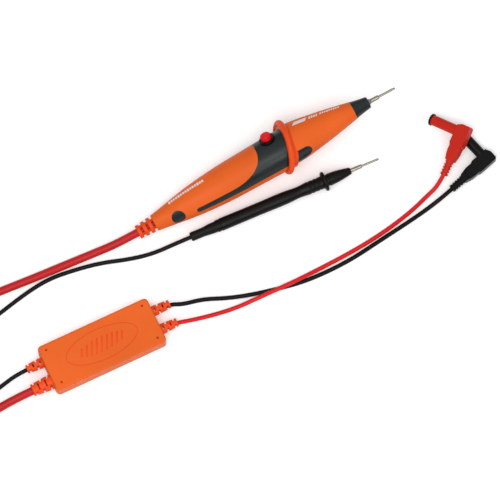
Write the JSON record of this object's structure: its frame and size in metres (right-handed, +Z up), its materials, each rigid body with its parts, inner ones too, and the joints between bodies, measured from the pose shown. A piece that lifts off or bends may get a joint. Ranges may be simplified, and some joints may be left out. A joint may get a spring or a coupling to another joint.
{
  "type": "electrical load test lead set",
  "caption": "Hand-held load probe with push button and finger guard, slim ground probe, junction box and two right-angle meter plugs, joined by flexible leads.",
  "frame": {"origin": "centre of the base of the box around the two probes and the junction box, on the surface that they lie on", "axes": "+X along the load probe towards its tip, +Z up from the surface, +Y to the load probe's left"},
  "size_m": [0.6124, 0.129, 0.044],
  "materials": {
    "orange_plastic": "satin moulded plastic",
    "orange_rubber": "satin moulded rubber",
    "grip_rubber": "satin soft grip",
    "button_red": "satin",
    "black_plastic": "satin",
    "black_rubber": "matt",
    "nickel": "bright nickel plate",
    "brass": "bare",
    "screw_steel": "zinc plate",
    "spring_steel": "bright",
    "board": "solder mask",
    "ceramic": "ceramic",
    "fuse_glass": "clear",
    "capacitor_sleeve": "shrink sleeve",
    "red_plug_plastic": "satin soft PVC",
    "black_plug_plastic": "satin soft PVC",
    "main_lead_jacket": "satin PVC jacket",
    "red_lead_jacket": "satin silicone jacket",
    "black_lead_jacket": "satin PVC jacket"
  },
  "bodies": {
    "test_leads": {"black_plug_body": "black_plug_plastic", "black_plug_boot": "black_plug_plastic", "black_plug_contact_spring": "nickel", "black_plug_liner": "black_plastic", "black_plug_pin": "nickel", "button_bezel": "black_plastic", "button_spring": "spring_steel", "capacitor": "capacitor_sleeve", "case_base": "orange_plastic", "case_lid": "orange_plastic", "case_screws": "screw_steel", "ceramic_resistor": "ceramic", "control_board": "board", "finger_guard": "orange_rubber", "fuse": "fuse_glass", "fuse_clips": "brass", "grip_overmold": "grip_rubber", "ground_lead_boot": "orange_rubber", "ground_lead_box_side": "black_lead_jacket", "ground_lead_coil": "black_lead_jacket", "ground_lead_probe_side": "black_lead_jacket", "ground_probe_barrel": "black_plastic", "ground_probe_boot": "black_rubber", "ground_probe_ferrule": "nickel", "ground_probe_guard": "black_plastic", "ground_probe_nose": "black_plastic", "ground_probe_pin": "nickel", "ground_probe_rod": "brass", "handle_lower_shell": "orange_plastic", "handle_screws": "screw_steel", "handle_upper_shell": "orange_plastic", "lead_terminal": "brass", "load_resistors": "ceramic", "main_lead_boot": "orange_rubber", "main_lead_box_side": "main_lead_jacket", "main_lead_coil": "main_lead_jacket", "main_lead_probe_side": "main_lead_jacket", "meter_black_boot": "orange_rubber", "meter_lead_black": "black_lead_jacket", "meter_lead_red": "red_lead_jacket", "meter_red_boot": "orange_rubber", "nose_cap": "grip_rubber", "probe_boot": "orange_rubber", "probe_circuit_board": "board", "probe_contact_rod": "brass", "probe_ferrule": "nickel", "probe_pin": "nickel", "rear_grip_pads": "grip_rubber", "red_plug_body": "red_plug_plastic", "red_plug_boot": "red_plug_plastic", "red_plug_contact_spring": "nickel", "red_plug_liner": "black_plastic", "red_plug_pin": "nickel", "relay": "black_plastic", "switch_body": "black_plastic", "transistor": "black_plastic"},
    "push_button": {"push_button_cap": "button_red", "button_plunger": "black_plastic"}
  },
  "joints": [
    {"name": "button_press", "type": "slide", "parent": "test_leads", "child": "push_button", "axis": [0.071, -0.6561, -0.7514], "range_m": [0, 0.0025], "stiffness_N_per_m": 300, "springref_m": -0.003, "deforming": ["button_spring"]}
  ]
}
